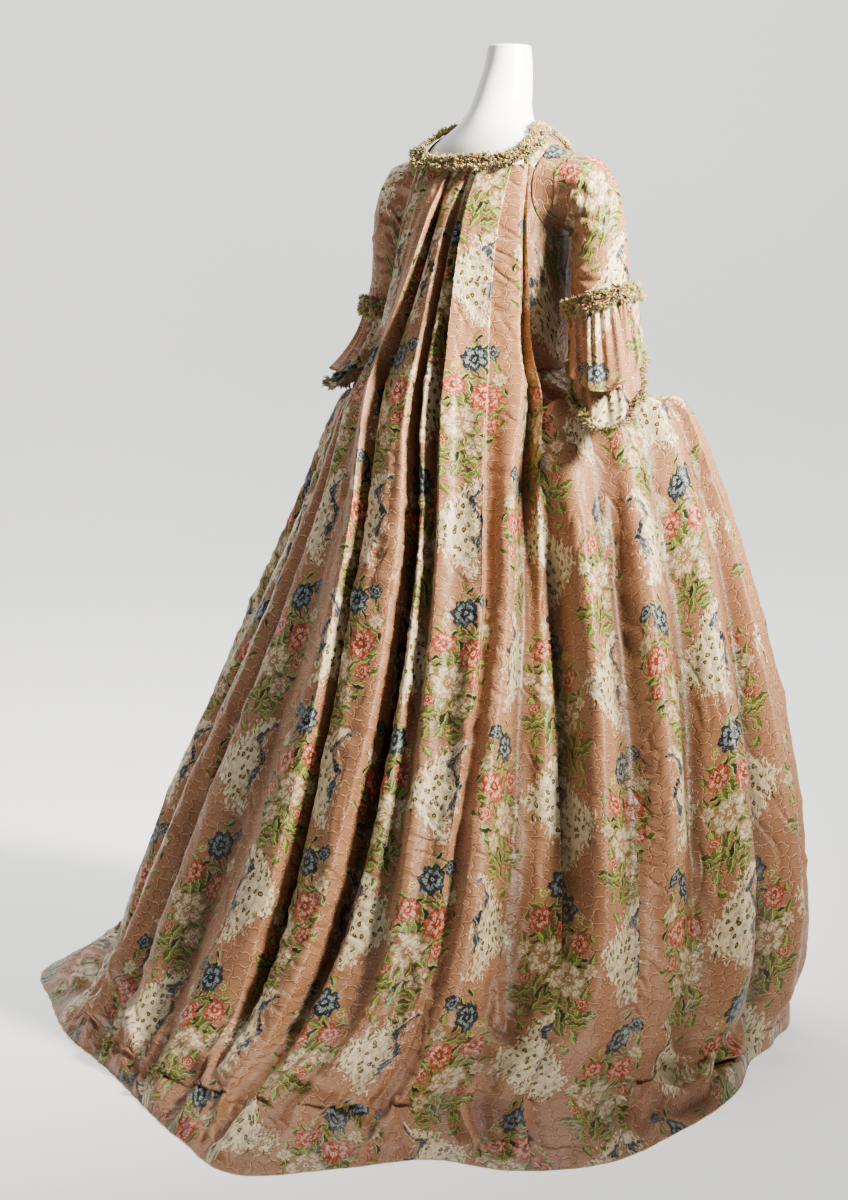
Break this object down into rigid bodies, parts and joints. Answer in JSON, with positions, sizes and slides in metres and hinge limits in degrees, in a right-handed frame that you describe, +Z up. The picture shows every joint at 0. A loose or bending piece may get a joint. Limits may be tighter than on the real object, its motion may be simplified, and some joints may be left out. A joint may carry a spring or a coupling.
{
  "type": "robe a la francaise on a dress form",
  "caption": "Long gown with a pleated sack back falling into a train, a wide hooped skirt and flounced elbow sleeves, worn by a limbless dress form on a round stand.",
  "frame": {"origin": "centre of the stand's base, on its underside at the floor", "axes": "+Z up the figure; the front of the gown faces -Y and the train runs out to +Y; the wearer's left is +X"},
  "size_m": [1.3142, 1.2734, 1.528],
  "materials": {
    "silk": "salmon silk brocade with flowers and furs, soft sheen",
    "fringe": "gold and green silk fringe in small tufts",
    "lining": "plain tan silk, matt",
    "form": "white, smooth, slight gloss",
    "stand": "black, satin"
  },
  "bodies": {
    "root": {"sack_back": "silk", "skirt_left": "silk", "skirt_right": "silk", "bodice_left": "silk", "bodice_right": "silk", "strap_left": "silk", "strap_right": "silk", "stomacher": "silk", "sleeve_left": "silk", "sleeve_right": "silk", "flounce_upper_left": "silk", "flounce_upper_right": "silk", "flounce_lower_left": "silk", "flounce_lower_right": "silk", "cuff_trim_left": "silk", "cuff_trim_right": "silk", "neck_trim": "silk", "flounce_fringe_left": "fringe", "flounce_fringe_right": "fringe", "cuff_fringe_left": "fringe", "cuff_fringe_right": "fringe", "neck_fringe_inner": "fringe", "neck_fringe_outer": "fringe", "petticoat": "lining", "hem_facing": "lining", "form_torso": "form", "form_pole": "stand", "form_base": "stand"}
  },
  "joints": []
}
